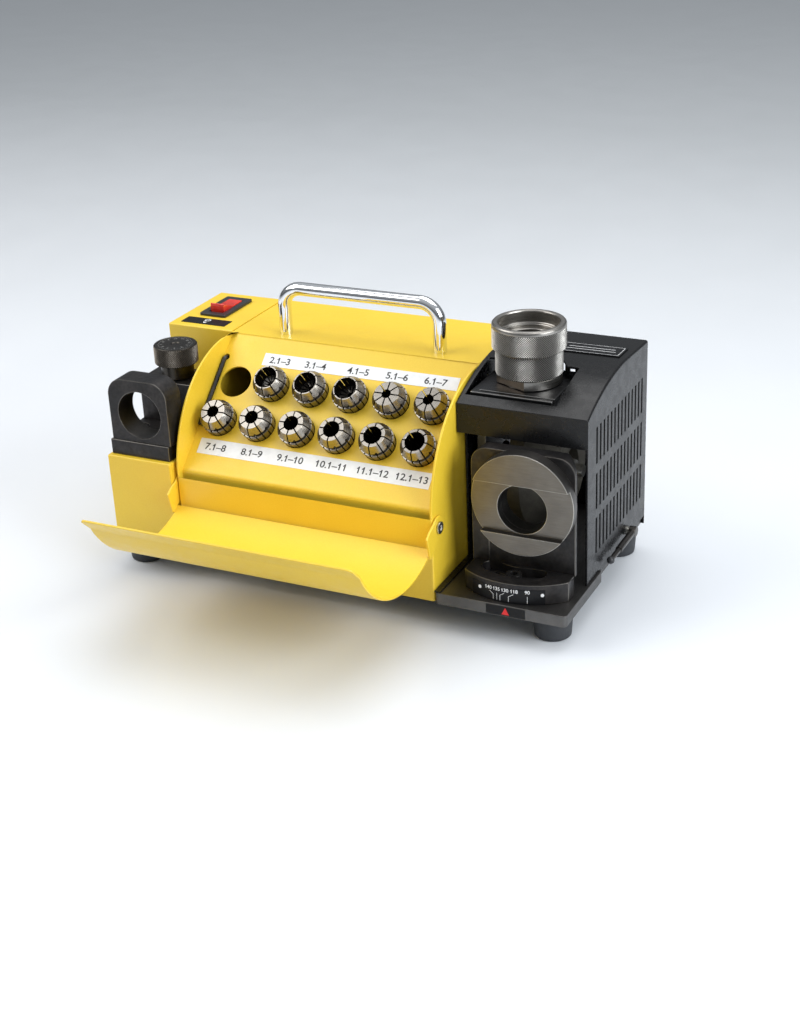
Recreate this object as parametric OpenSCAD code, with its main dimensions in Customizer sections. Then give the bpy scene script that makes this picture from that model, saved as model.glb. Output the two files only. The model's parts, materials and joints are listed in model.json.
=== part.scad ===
// Bench drill bit sharpener: collet rack, flip-down tray lid, setting gauge and grinding chamber.
// Machine frame: X runs from the switch side to the chamber side, Y from front to back,
// and Z up from the underside of the base plate. place() then moves the origin to the
// middle of the machine's footprint, on the surface that it stands on.

/* [Body] */
// Width from the switch housing to the chamber cover
body_w = 320; // [318:1:322]
// Depth of the covers, front to back
body_d = 156.6; // [156:0.2:158]
// Height of the covers above the underside of the base plate
body_h = 129.5; // [129:0.5:130]
// Thickness of the folded cover sheets
sheet = 1.5; // [1.2:0.1:1.6]
// Thickness of the base plate
plate_t = 7.7; // [7:0.1:8]
// Height of the rubber feet
foot_h = 18; // [14:1:22]
// Radius of the rubber feet
foot_r = 12.8; // [12:0.2:13]

/* [Collet rack] */
// Slope of the rack, degrees from level
rack_a = 42; // [41.5:0.5:42.5]
// Distance between neighbouring collets, both ways
collet_pitch = 29; // [28.6:0.1:29.2]
// Largest radius of a collet
collet_r = 11.6; // [11.2:0.1:11.8]
// How far a collet lifts before it is clear of the rack
collet_lift = 40; // [30:5:60]

/* [Tray lid] */
// Radius of the tray's curve, on its inside
lid_r = 68; // [67.8:0.1:68.2]
// Length of the lip along the tray's front
lip_len = 13.7; // [12:0.1:14]

/* [Ports and chuck] */
// Radius of the bores that take the chuck's nose
port_r = 16.05; // [16.03:0.01:16.1]
// Radius of the chuck's nose
nose_r = 16; // [15.95:0.01:16]
// Radius of the slotted disc around the angle port
disc_r = 33.4; // [32:0.2:33.6]

/* [Grinding] */
// Radius of the grinding wheel
wheel_r = 39; // [38:0.5:39.5]
// Point angle that the wheel's cone and the block are set for, degrees
point_angle = 118; // [116:1:120]

/* [Handle] */
// Radius of the handle's rod
rod_r = 4.5; // [4:0.25:5]
// Height of the handle above the cover
handle_h = 36.4; // [34:0.2:38]

/* [Hidden] */
$fn = 64;
gap = 0.3;
run = 0.05;
cut = 1;

// Covers
low_w = 48.9;
low_h = 66.5;
low_d = 86.3;
tall_w = 50.7;
main_x0 = 51.2;
main_x1 = 234;
arc_c = [76.5, 56.5];
arc_r = body_h - arc_c[1];
rack_front = 8;
rack_bend = [10, 62];
rack_top = [84, 128];
rack_dir = [cos(rack_a), sin(rack_a)];
chamber_x0 = 234.5;
band_y = 43;
band_z = 99;
band_top = 118.5;
crown = [110, 133];
crown_r = 162;
back_drop = 2.5;
chamber_z0 = 5.7;

// Collets
rack_x0 = 67.8;
row_s = [35.7, 64.9];
rack_hole_r = collet_r - 0.35;
collet_face = 13.5;
collet_back = -22.5;
ring_z = 4.5;

// Lid
pivot = [8.9, 49.5];
lid_c = [-32, 96.6];
lid_a = [-60.4, -152];
lid_x = [51.1, 234.1];
ear_x = [49.2, 236];
lip_a = 136;

// Setting gauge
gauge_x = 26;
gauge_z = 96.3;
gauge_post = [44.9, 17, 43];
knob_y = 54;
knob_r = 14.7;
knob_z = [116, 128.8];

// Angle port and block
swivel = [280, 58];
bore_x = 284.8;
bore_z = 62.7;
disc_z = 66.6;
block_front = 30;
block_back = 40;
arc_front = 52.6;
block_x = [249, 317];
block_z = 21;
slot_r = 36.5;
seat_z = 123.1;
chuck = [267.4, 82.1];
flange_r = 20.4;
knurl_r = 21.2;
flat_half = 16.5;
nut_r = 23.3;

// Wheel and motor
axis_y = 91;
axis_z = bore_z;
shaft_r = 4;
motor_r = 29;
motor_x = [135, 217];
bulk_x = [226, 231];
wheel_x = 262;

// Handle
handle_x = [88.3, 201];
handle_y = 95;
bend_r = 13;

// Side lever
lever_x = 324;
lever_hub = [120, 11];
lever_bush_r = 3;
lever_ball_r = 2.5;

// Screws along the back
back_screw_x = [28, 75, 142, 210, 246, 316];
inlet_x = 25;
inlet_z = 46.5;
inlet_pitch = 33;
deck_y = 67.2;

// Footprint
function on_lid(r, a) = lid_c + r * [cos(a), sin(a)];
foot_at = [[7, 23.5], [305, 23], [7, 145], [305, 145]];
lip_tip = on_lid(lid_r, lid_a[1]) + lip_len * [cos(lip_a), sin(lip_a)];
lip_front = lip_tip - sheet * [sin(lip_a), -cos(lip_a)];
lever_end = lever_x + lever_ball_r;
back_end = 160.2;
mid_x = (foot_at[0][0] - foot_r + lever_end) / 2;
mid_y = (lip_front[0] + back_end) / 2;

// Shared shapes
module place() {
    translate([-mid_x, -mid_y, foot_h]) children();
}

// Extrudes a Y-Z outline from x0 to x1.
module side(x0, x1) {
    translate([x0, 0, 0]) rotate([90, 0, 90]) linear_extrude(x1 - x0) children();
}

// Extrudes an X-Z outline from y0 to y1.
module front(y0, y1) {
    translate([0, y1, 0]) rotate([90, 0, 0]) linear_extrude(y1 - y0) children();
}

module box(x, y, z) {
    translate([x[0], y[0], z[0]]) cube([x[1] - x[0], y[1] - y[0], z[1] - z[0]]);
}

// Rectangle from p to q with its corners rounded.
module round_rect(p, q, r) {
    translate([p[0] + r, p[1]]) square([q[0] - p[0] - 2 * r, q[1] - p[1]]);
    translate([p[0], p[1] + r]) square([q[0] - p[0], q[1] - p[1] - 2 * r]);
    for (x = [p[0] + r, q[0] - r], y = [p[1] + r, q[1] - r]) translate([x, y]) circle(r);
}

// Rod along X, Y or Z from a to b.
module rod_x(x, y, z, r) {
    translate([x[0], y, z]) rotate([0, 90, 0]) cylinder(r = r, h = x[1] - x[0]);
}

module rod_y(x, y, z, r) {
    translate([x, y[1], z]) rotate([90, 0, 0]) cylinder(r = r, h = y[1] - y[0]);
}

module rod_z(x, y, z, r) {
    translate([x, y, z[0]]) cylinder(r = r, h = z[1] - z[0]);
}

// Cap screw standing on z, with a hex socket.
module cap_screw(x, y, z, head_r, head_h, shank_r, depth) {
    socket_r = head_r * 0.55;
    difference() {
        union() {
            rod_z(x, y, [z, z + head_h], head_r);
            rod_z(x, y, [z - depth, z], shank_r);
        }
        translate([x, y, z + head_h * 0.4]) cylinder(r = socket_r, h = head_h, $fn = 6);
    }
}

// Base and feet
module base_plate() {
    front_y = 10;
    color("dimgray") place() difference() {
        union() {
            box([sheet + gap, body_w - sheet - gap], [front_y, body_d - 2], [0, plate_t]);
            linear_extrude(plate_t) round_rect([main_x1 + 0.8, 1.3], [body_w + 1.6, deck_y], 3);
        }
        for (p = foot_at) rod_z(p[0], p[1], [-cut, plate_t + cut], 2.6);
        rod_z(swivel[0], swivel[1], [-cut, plate_t + cut], 4);
        rod_z(swivel[0], swivel[1] - slot_r, [-cut, plate_t + cut], 3);
        for (y = seat_screw_y) rod_z(seat_screw_x, y, [-cut, plate_t + cut], 2);
        back_screw_holes();
    }
}

module feet() {
    color([0.12, 0.12, 0.13]) place() for (p = foot_at) translate([p[0], p[1], -foot_h])
        difference() {
            rotate_extrude() polygon([[0, 0], [foot_r - 1.9, 0], [foot_r - 1.1, 0.8],
                [foot_r, foot_h - 2], [foot_r, foot_h], [0, foot_h]]);
            translate([0, 0, -cut]) cylinder(r = 5.5, h = 7 + cut);
            cylinder(r = 2.6, h = foot_h + cut);
        }
}

module foot_screws() {
    color("silver") place() for (p = foot_at) {
        rod_z(p[0], p[1], [-foot_h + 4, -foot_h + 7], 4.6);
        rod_z(p[0], p[1], [-foot_h + 7, plate_t - 0.5], 2.6);
    }
}

// Switch housing: a low box under the gauge and a tall one behind it, one folded piece.
module switch_housing() {
    inner_w = low_w - 2 * sheet;
    color("gold") place() difference() {
        union() {
            box([0, low_w], [0, low_d + sheet], [0, low_h]);
            box([0, tall_w], [low_d, body_d], [0, body_h]);
        }
        box([sheet, sheet + inner_w], [sheet, low_d + 2 * sheet], [-cut, low_h - sheet]);
        box([sheet, tall_w + cut], [low_d + sheet, body_d - sheet], [-cut, body_h - sheet]);
        box([15, 30.5], [110, 142], [body_h - 2 * sheet, body_h + cut]);
        box([11, 39], [body_d - 2 * sheet, body_d + cut], [36, 57]);
        box([sheet, tall_w + cut], [9, body_d - sheet], [-cut, plate_t]);
        for (x = gauge_screw_x, y = gauge_screw_y) rod_z(x, y, [low_h - 3, low_h + cut], 2.1);
        for (d = [-1, 1]) rod_y(inlet_x + d * inlet_pitch / 2, [body_d - 3, body_d + cut], inlet_z, 1.4);
        rod_x([low_w - 2 * sheet, low_w + cut], pivot[0], pivot[1], 3);
        back_screw_holes();
    }
}

// Outline of the main cover's side sheets.
module main_outline() {
    translate(arc_c) circle(arc_r, $fn = 128);
    translate([arc_c[0], 0]) square([body_d - arc_c[0], body_h]);
    translate([arc_c[0] - arc_r, 0]) square([arc_r, arc_c[1]]);
}

// Everything below the plate's underside, cut off the side sheets.
module below() {
    translate([-50, -100]) square([300, 100]);
}

module main_cover() {
    skirt_h = 32;
    edge_y = arc_c[0] - arc_r;
    color("gold") place() difference() {
        union() {
            for (x = [main_x0, main_x1 - sheet]) side(x, x + sheet) difference() {
                main_outline();
                below();
            }
            box([main_x0, main_x1], [rack_top[0], body_d], [body_h - sheet, body_h]);
            box([main_x0, main_x1], [body_d - sheet, body_d], [0, body_h]);
            box([main_x0, main_x1], [edge_y, edge_y + sheet], [0, skirt_h]);
        }
        rod_x([main_x1 - 2 * sheet, main_x1 + cut], axis_y, axis_z, 14);
        for (x = [main_x0, main_x1 - sheet]) rod_x([x - cut, x + 2 * sheet], pivot[0], pivot[1], 3);
        for (x = handle_x) rod_z(x, handle_y, [body_h - 2 * sheet, body_h + cut], 3);
        for (x = [main_x0, main_x1 - sheet])
            box([x - cut, x + sheet + cut], [9, body_d - sheet], [-cut, plate_t]);
        back_screw_holes();
    }
}

// Point on the rack's outer face, s along the slope from its lower bend.
function rack_at(s) = rack_bend + s * rack_dir;

// Stands children() on the rack's face with Z along its outward normal.
module on_rack(x, s) {
    translate([x, rack_at(s)[0], rack_at(s)[1]]) rotate([rack_a, 0, 0]) children();
}

module collet_rack() {
    x0 = main_x0 + sheet;
    x1 = main_x1 - sheet;
    top = rack_at((rack_top[0] - rack_bend[0]) / rack_dir[0]);
    normal = [-rack_dir[1], rack_dir[0]];
    bend = 4;
    turned = 90 - rack_a;
    corner_z = rack_bend[1] - (rack_bend[0] - rack_front) * tan(rack_a);
    centre = [rack_front + bend, corner_z - bend * tan(turned / 2)];
    arc = [for (i = [0 : 6]) centre + bend * [-cos(turned * i / 6), sin(turned * i / 6)]];
    color("gold") place() difference() {
        side(x0, x1) polygon(concat([[rack_front, plate_t + 0.5]], arc,
            [top, top - [0, sheet / rack_dir[0]], rack_bend - sheet * normal + [0.6, 0],
            [rack_front + sheet, centre[1]], [rack_front + sheet, plate_t + 0.5]]));
        for (x = [0 : 5], s = row_s) on_rack(rack_x0 + x * collet_pitch, s)
            translate([0, 0, -4]) cylinder(r = rack_hole_r, h = 8);
        on_rack(key_x, key_s[1]) translate([0, 0, -4]) cylinder(r = 2.2, h = 8);
    }
}

// Collet with a 30 degree nose, a pull-out groove, an 8 degree back and slits.
module collet(d) {
    i = d - 3;
    col = i < 5 ? i + 1 : i - 5;
    s = i < 5 ? row_s[1] : row_s[0];
    counter = d <= 5 ? 7.4 : d / 2;
    back_r = collet_r - (ring_z - collet_back) * tan(8);
    face_r = collet_r - 0.4 - 4.9 * tan(30);
    slit = 0.65;
    color("silver") place() on_rack(rack_x0 + col * collet_pitch, s) difference() {
        rotate_extrude() polygon([[0, collet_back], [back_r, collet_back], [collet_r, ring_z],
            [collet_r, ring_z + 2.3], [collet_r - 1.9, ring_z + 2.6], [collet_r - 1.9, ring_z + 4.1],
            [collet_r - 0.4, collet_face - 4.9], [face_r, collet_face], [0, collet_face]]);
        translate([0, 0, collet_back - cut]) cylinder(r = d / 2, h = 50);
        translate([0, 0, collet_face - 11]) cylinder(r = counter, h = 20);
        for (a = [0 : 45 : 135]) rotate([0, 0, a]) {
            translate([-15, -slit / 2, collet_back + 6]) cube([30, slit, 40]);
            rotate([0, 0, 22.5]) translate([-15, -slit / 2, collet_back - cut])
                cube([30, slit, collet_face - 3 - collet_back]);
        }
    }
}

// Hex key clipped to the rack, its short leg through a hole.
key_x = 54.6;
key_s = [30, 82];
key_r = 1.5;
module hex_key() {
    h = key_r + gap;
    elbow = 3;
    neck_r = key_r * 0.84;
    color([0.1, 0.1, 0.12]) place() on_rack(key_x, 0) {
        translate([0, key_s[0], h]) rotate([-90, 30, 0])
            cylinder(r = key_r, h = key_s[1] - key_s[0] - elbow + 0.2, $fn = 6);
        translate([0, key_s[1] - elbow, h - elbow]) rotate([90, 0, 90])
            rotate_extrude(angle = 90) translate([elbow, 0]) circle(neck_r);
        translate([0, key_s[1], h - elbow - 10]) cylinder(r = key_r, h = 10.2, $fn = 6);
    }
}

// Printed strips above and below the collets.
module size_strips() {
    t = 0.15;
    color("white") place() {
        on_rack(82.5, 79.2) translate([0, 0, 0.03]) cube([141, 9.2, t]);
        on_rack(58.5, 10.8) translate([0, 0, 0.03]) cube([167, 11, t]);
    }
}

// Tray lid: a curved sheet that closes over the rack, drawn open. Its section runs from the
// pivot's side along the tray's floor to the lip.
lid_steps = 48;
ear_a = lid_a[0] + (lid_a[1] - lid_a[0]) * 3 / lid_steps;
module lid_outline() {
    steps = lid_steps;
    angles = [for (i = [0 : steps]) lid_a[0] + (lid_a[1] - lid_a[0]) * i / steps];
    bend = (lid_a[1] + 270 - lip_a) / 2;
    mitre = sheet * tan(bend) * [sin(lid_a[1]), -cos(lid_a[1])];
    polygon(concat(
        [for (i = [0 : steps - 1]) on_lid(lid_r + sheet, angles[i])],
        [on_lid(lid_r + sheet, lid_a[1]) + mitre, lip_front, lip_tip],
        [for (i = [0 : steps]) on_lid(lid_r, angles[steps - i])]
    ));
}

// The ends of the sheet that the ears don't reach, from the ears' front edge to the lip.
module lid_ends() {
    far = 300;
    for (x = [[ear_x[0] - cut, lid_x[0]], [lid_x[1], ear_x[1] + cut]]) side(x[0], x[1])
        translate(lid_c) polygon([[0, 0], far * [cos(ear_a), sin(ear_a)],
            far * [cos(-110), sin(-110)], far * [cos(-150), sin(-150)],
            far * [cos(-190), sin(-190)]]);
}

// Rounds the lip's corner at x; inward is 1 at the left end and -1 at the right.
module lip_corner(x, inward) {
    r = 4;
    translate([x, lip_tip[0], lip_tip[1]]) rotate([lip_a, 0, 0]) difference() {
        translate([inward > 0 ? -cut : -r, -r, -5]) cube([r + cut, r + cut, 10]);
        translate([inward * r, -r, -6]) cylinder(r = r, h = 12);
    }
}

module lid_ear(x) {
    middle = lid_r + sheet / 2;
    difference() {
        side(x, x + sheet) {
            translate(pivot) circle(7.4);
            polygon([pivot + [0, 7.4], pivot + [-12.8, 1.8], pivot + [-16.8, -1.2],
                on_lid(middle, ear_a), on_lid(middle, lid_a[0] - 0.5), pivot + [0.1, -7.4]]);
        }
        rod_x([x - cut, x + 2 * sheet], pivot[0], pivot[1], 3 + run);
    }
}

module tray_lid() {
    color("gold") place() {
        difference() {
            side(ear_x[0], ear_x[1]) lid_outline();
            lid_ends();
            lip_corner(lid_x[0], 1);
            lip_corner(lid_x[1], -1);
        }
        lid_ear(ear_x[0]);
        lid_ear(ear_x[1] - sheet);
    }
}

// Pivot screws: the left one goes in from inside the low box, through its wall.
module lid_pivot_screws() {
    head_r = 3.9;
    color("silver") place() {
        difference() {
            rod_x([ear_x[1] + gap, ear_x[1] + 1.5], pivot[0], pivot[1], head_r);
            translate([ear_x[1] + 0.9, pivot[0], pivot[1]]) rotate([0, 90, 0])
                cylinder(r = 1.9, h = 5, $fn = 6);
        }
        rod_x([main_x1 - sheet, ear_x[1] + gap], pivot[0], pivot[1], 3);
        rod_x([low_w - sheet - 2, low_w - sheet], pivot[0], pivot[1], head_r);
        rod_x([low_w - sheet, main_x0 + sheet], pivot[0], pivot[1], 3);
    }
}

// Handle
module carry_handle() {
    top = body_h + handle_h - rod_r;
    color("silver") place() {
        for (x = handle_x) rod_z(x, handle_y, [body_h, top - bend_r], rod_r);
        rod_x([handle_x[0] + bend_r, handle_x[1] - bend_r], handle_y, top, rod_r);
        translate([handle_x[0] + bend_r, handle_y, top - bend_r]) rotate([90, 0, 0])
            rotate([0, 0, 90]) rotate_extrude(angle = 90) translate([bend_r, 0]) circle(rod_r);
        translate([handle_x[1] - bend_r, handle_y, top - bend_r]) rotate([90, 0, 0])
            rotate_extrude(angle = 90) translate([bend_r, 0]) circle(rod_r);
    }
}

module handle_nuts() {
    z = body_h - sheet;
    color("silver") place() for (x = handle_x) {
        rod_z(x, handle_y, [z - 4, z], 7);
        rod_z(x, handle_y, [z - 0.1, body_h], 3);
        translate([x, handle_y, z - 8]) cylinder(r = 5.2, h = 4, $fn = 6);
    }
}

// Chamber cover
module chamber_outline(t) {
    low = chamber_z0 - (t > 0 ? 5 : 0);
    top = crown[1] - t;
    difference() {
        translate([band_y + t, low]) square([body_d - band_y - 2 * t, top + 2 - low]);
        difference() {
            translate([band_y - cut, 60]) square([crown[0] - band_y + cut, 100]);
            translate([crown[0], crown[1] - crown_r]) circle(crown_r - t, $fn = 256);
        }
        polygon([[crown[0], top], [body_d + cut, top - back_drop], [body_d + cut, 200], [crown[0], 200]]);
    }
}

module chamber_cover() {
    wall_y = 55;
    sill_x = 238.7;
    vent_y = 58;
    vent_pitch = 6.6;
    vent_z = [[23.3, 47.5], [53.8, 77.4], [84.3, 108]];
    color([0.13, 0.13, 0.14]) place() difference() {
        union() {
            side(chamber_x0, body_w) chamber_outline(0);
            box([chamber_x0, body_w], [body_d - sheet, body_d], [0, 20]);
            box([chamber_x0, sill_x], [2, wall_y + cut], [plate_t, plate_t + 0.8]);
        }
        side(chamber_x0 + sheet, body_w - sheet) intersection() {
            chamber_outline(sheet);
            translate([0, plate_t + 0.8]) square(300);
        }
        box([chamber_x0 + sheet, body_w - sheet], [wall_y + cut, body_d - sheet], [-cut, 20]);
        box([sill_x, body_w - sheet], [0, wall_y + 2 * cut], [-cut, 20]);
        box([chamber_x0 - cut, chamber_x0 + sheet + cut], [0, wall_y], [plate_t + 0.8, band_z]);
        box([chamber_x0 - cut, chamber_x0 + sheet + cut], [0, body_d - sheet], [-cut, plate_t]);
        rod_x([chamber_x0 - cut, chamber_x0 + 2 * sheet], axis_y, axis_z, 14);
        box([chamber_x0 - cut, body_w - sheet], [band_y - cut, band_y + 2 * sheet],
            [plate_t + 0.8, band_z]);
        box([237.5, 297], [50.8, 91], [band_z, crown[1] + cut]);
        rod_z(chuck[0], chuck[1], [band_z, crown[1] + cut], knurl_r + 1.8);
        for (i = [0 : 13], z = vent_z) box([body_w - 2 * sheet, body_w + cut],
            [vent_y + i * vent_pitch, vent_y + i * vent_pitch + 2.5], z);
        for (i = [0 : 9], z = [40, 84]) box([246 + i * 7, 249.5 + i * 7],
            [body_d - 2 * sheet, body_d + cut], [z, z + 26]);
        rod_x([body_w - 2 * sheet, body_w + cut], lever_hub[0], lever_hub[1], lever_bush_r);
        box([chamber_x0 - cut, body_w + cut], [band_y - cut, deck_y + gap], [-cut, plate_t]);
        back_screw_holes();
    }
}

// Screws through the back edges of the covers into the back of the base plate.
module back_screw_holes() {
    for (x = back_screw_x) rod_y(x, [body_d - 12, body_d + cut], plate_t / 2, 1.4);
}

module cover_screws() {
    color("silver") place() for (x = back_screw_x) {
        rod_y(x, [body_d, body_d + 1.8], plate_t / 2, 3);
        rod_y(x, [body_d - 12, body_d], plate_t / 2, 1.4);
    }
}

// Switch
rock_y = 126;
rock_tilt = 10;
module switch_frame() {
    color([0.06, 0.06, 0.07]) place() difference() {
        union() {
            translate([0, 0, body_h]) linear_extrude(2)
                round_rect([12.5, 107], [33, 145], 1.5);
            box([15.2, 30.3], [110.2, 141.8], [body_h - 22, body_h + 1]);
        }
        box([17, 28.5], [112, 140], [body_h - 12, body_h + 3]);
        rod_x([16, 29.5], rock_y, body_h, 1.2 + run);
    }
}

// Rocker on its two trunnions, at rest with its front half raised.
module switch_rocker() {
    half = 12.6;
    color("red") place() translate([0, rock_y, body_h]) rotate([-rock_tilt, 0, 0]) {
        side(17.4, 28.1) polygon([[-half, 5.2], [0, 2.6], [half, 4.6], [half, 1], [10, -4],
            [4, -6.5], [-4, -6.5], [-10, -4], [-half, 1]]);
        rod_x([16.2, 29.3], 0, 0, 1.2);
    }
}

module diameter_plate() {
    color([0.05, 0.05, 0.06]) place() box([7, 41.4], [91.5, 102.5], [body_h, body_h + 0.3]);
}

// Power inlet at the back of the switch housing, a three-pin socket.
module power_inlet() {
    x = inlet_x;
    z = inlet_z;
    color([0.07, 0.07, 0.08]) place() {
        difference() {
            union() {
                front(body_d, body_d + 2.2) round_rect([x - 20, z - 12], [x + 20, z + 12], 3);
                box([x - 13.7, x + 13.7], [body_d - 20, body_d + 1], [z - 10, z + 10]);
            }
            front(body_d - 15, body_d + 3) round_rect([x - 12, z - 8], [x + 12, z + 8], 3);
            for (d = [-1, 1]) rod_y(x + d * inlet_pitch / 2, [body_d - 1, body_d + 3], z, 1.7);
        }
        for (p = [[-7, -2], [0, 2], [7, -2]])
            box([x + p[0] - 1, x + p[0] + 1], [body_d - 16, body_d - 3], [z + p[1] - 2, z + p[1] + 2]);
    }
}

module inlet_screws() {
    color("silver") place() for (x = [inlet_x - inlet_pitch / 2, inlet_x + inlet_pitch / 2]) {
        rod_y(x, [body_d + 2.2, back_end], inlet_z, 2.9);
        rod_y(x, [body_d - 3, body_d + 2.2], inlet_z, 1.4);
    }
}

// Setting gauge
gauge_screw_x = [10, 42];
gauge_screw_y = [30, 74];
gauge_z0 = low_h + 10.5;
module gauge_base() {
    color([0.2, 0.2, 0.21]) place() difference() {
        box([2.2, 47], [3.2, 79], [low_h, gauge_z0]);
        for (x = gauge_screw_x, y = gauge_screw_y) {
            rod_z(x, y, [low_h - cut, gauge_z0 + cut], 2.1);
            rod_z(x, y, [gauge_z0 - 4.4, gauge_z0 + cut], 4);
        }
    }
}

module gauge_screws() {
    color([0.12, 0.12, 0.13]) place() for (x = gauge_screw_x, y = gauge_screw_y)
        cap_screw(x, y, gauge_z0 - 4.4, 3.5, 4, 2, 9);
}

module gauge_ring() {
    x0 = gauge_x - gauge_post[0] / 2;
    x1 = gauge_x + gauge_post[0] / 2;
    color([0.2, 0.2, 0.21]) place() difference() {
        front(4, 4 + gauge_post[1]) {
            round_rect([x0, gauge_z0], [x1, gauge_z0 + gauge_post[2]], 12);
            translate([x0, gauge_z0]) square([gauge_post[0], 20]);
        }
        rod_y(gauge_x + 0.6, [0, 30], gauge_z, port_r);
    }
}

module gauge_column() {
    top = 106;
    color([0.2, 0.2, 0.21]) place() difference() {
        box([3.7, 48.3], [40.3, 69], [gauge_z0, top]);
        box([14.5, 37.5], [42.5, 65.5], [84, 101]);
        box([22, 30], [39, 43], [84, 91]);
        rod_z(gauge_x, knob_y, [80, top + cut], 6 + run);
    }
}

module gauge_knob() {
    edge = 0.5;
    h = knob_z[1] - knob_z[0];
    color([0.17, 0.17, 0.18]) place() {
        rod_z(gauge_x, knob_y, [83.5, 107.5], 6);
        rod_z(gauge_x, knob_y, [106 + gap, knob_z[0]], 11);
        translate([gauge_x, knob_y, knob_z[0]]) rotate_extrude() polygon([[0, 0],
            [knob_r - edge, 0], [knob_r, edge], [knob_r, h - edge], [knob_r - edge, h], [0, h]]);
    }
}

// Spiral cam that the drill's tip is set against: its radius grows with the turn.
module gauge_cam() {
    steps = 12;
    color("silver") place() translate([gauge_x, knob_y, 90]) linear_extrude(9) difference() {
        for (i = [0 : steps - 1]) rotate(-90 - i * 360 / steps)
            polygon([[0, 0], (7.2 + i * 0.32) * [1, -0.28], (7.2 + i * 0.32) * [1, 0.28]]);
        circle(6);
    }
}

// Angle block: a swivelling base with an arc slot, and an upright that holds the port.
module arc_slot(r, w, half) {
    difference() {
        circle(r + w / 2, $fn = 128);
        circle(r - w / 2, $fn = 128);
        polygon([[0, 0], 80 * [cos(half - 90), sin(half - 90)], [80, 80], [-80, 80],
            80 * [cos(-half - 90), sin(-half - 90)]]);
    }
    for (a = [-half, half]) rotate(a - 90) translate([r, 0]) circle(w / 2 - 0.02);
}

module swivel_block() {
    z0 = plate_t + 0.2;
    top = 97.5;
    chamfer = 7;
    slot_turn = -1.5;
    color([0.2, 0.2, 0.21]) place() difference() {
        union() {
            translate([swivel[0], swivel[1], z0]) linear_extrude(block_z - z0) intersection() {
                circle(arc_front, $fn = 128);
                polygon([[-30, -60], [36.5, -60], [36.5, -29], [25, 1], [15, 11], [-9, 11],
                    [-19, 1], [-30, -21]]);
            }
            difference() {
                front(block_front, block_back) {
                    round_rect([block_x[0], 30], [block_x[1], top], 11);
                    translate([block_x[0], block_z - 1]) square([block_x[1] - block_x[0], 40]);
                }
                for (x = block_x) translate([x, block_back, 0]) rotate([0, 0, 45])
                    cube([chamfer * sqrt(2), chamfer * sqrt(2), 300], center = true);
            }
        }
        rod_z(swivel[0], swivel[1], [z0 - cut, 30], shaft_r + run);
        translate([swivel[0], swivel[1], z0 - cut]) rotate(slot_turn) linear_extrude(30)
            arc_slot(slot_r, 7, 22);
        translate([swivel[0], swivel[1], 15]) rotate(slot_turn) linear_extrude(30)
            intersection() {
                arc_slot(slot_r, 12.6, 24);
                translate([-60, -60]) square([120, 32 - 0.3]);
            }
        rod_y(bore_x, [20, 60], bore_z, port_r);
    }
}

module point_port() {
    slot_half = 16.55;
    depth = 3.5;
    color([0.45, 0.44, 0.42]) place() difference() {
        rod_y(bore_x, [20.5, block_front], disc_z, disc_r);
        box([bore_x - 50, bore_x + 50], [10, 20.5 + depth], [bore_z - slot_half, bore_z + slot_half]);
        rod_y(bore_x, [10, 40], bore_z, port_r);
    }
}

module swivel_pin() {
    color("silver") place() rod_z(swivel[0], swivel[1], [0, block_z - 1], shaft_r);
}

module swivel_clamp_screw() {
    color([0.12, 0.12, 0.13]) place()
        cap_screw(swivel[0], swivel[1] - slot_r, 15 + gap, 5, 4.7, 3, 15 + gap);
}

// Curved scale plate on the front of the block.
module angle_scale() {
    color([0.05, 0.05, 0.06]) place() translate([swivel[0], swivel[1], plate_t + 0.2])
        linear_extrude(9.8) intersection() {
            difference() {
                circle(arc_front + 0.35, $fn = 128);
                circle(arc_front, $fn = 128);
            }
            polygon([[0, 0], 90 * [sin(-25.5), -cos(25.5)], 90 * [sin(27.7), -cos(27.7)]]);
        }
}

module scale_rivets() {
    r0 = arc_front + 0.4;
    color("white") place() for (a = [-18.4, 25.8]) translate([swivel[0], swivel[1], 14.6])
        rotate([0, 0, a]) rotate([90, 0, 0]) translate([0, 0, r0]) cylinder(r = 1.1, h = 0.5);
}

module pointer_plate() {
    color([0.05, 0.05, 0.06]) place() box([269.6, 295.2], [1, 1.3], [0.8, 7.1]);
}

// Seat for the chuck above the wheel.
seat_x = [239.6, 293.3];
seat_y = [53, 106];
leg_y = [62, 104];
module seat_bracket() {
    leg_t = 6;
    foot_w = 13;
    color([0.3, 0.3, 0.31]) place() difference() {
        union() {
            box(seat_x, seat_y, [seat_z - 8, seat_z]);
            box([seat_x[0], seat_x[0] + leg_t], leg_y, [plate_t, seat_z - 4]);
            box([seat_x[0], seat_x[0] + foot_w], leg_y, [plate_t, plate_t + 6]);
        }
        box([seat_x[0] + 5, seat_x[1] + cut], [56, 57.6], [seat_z - 3, seat_z + cut]);
        rod_z(chuck[0], chuck[1], [seat_z - 12, seat_z + cut], port_r);
        rod_x([235, 250], axis_y, axis_z, 12);
        for (y = seat_screw_y) rod_z(seat_screw_x, y, [plate_t - cut, plate_t + 8], 2.1);
    }
}

seat_screw_x = 249;
seat_screw_y = [68, 98];
module seat_screws() {
    color([0.12, 0.12, 0.13]) place() for (y = seat_screw_y)
        cap_screw(seat_screw_x, y, plate_t + 6, 3.3, 4, 2, 12);
}

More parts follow.
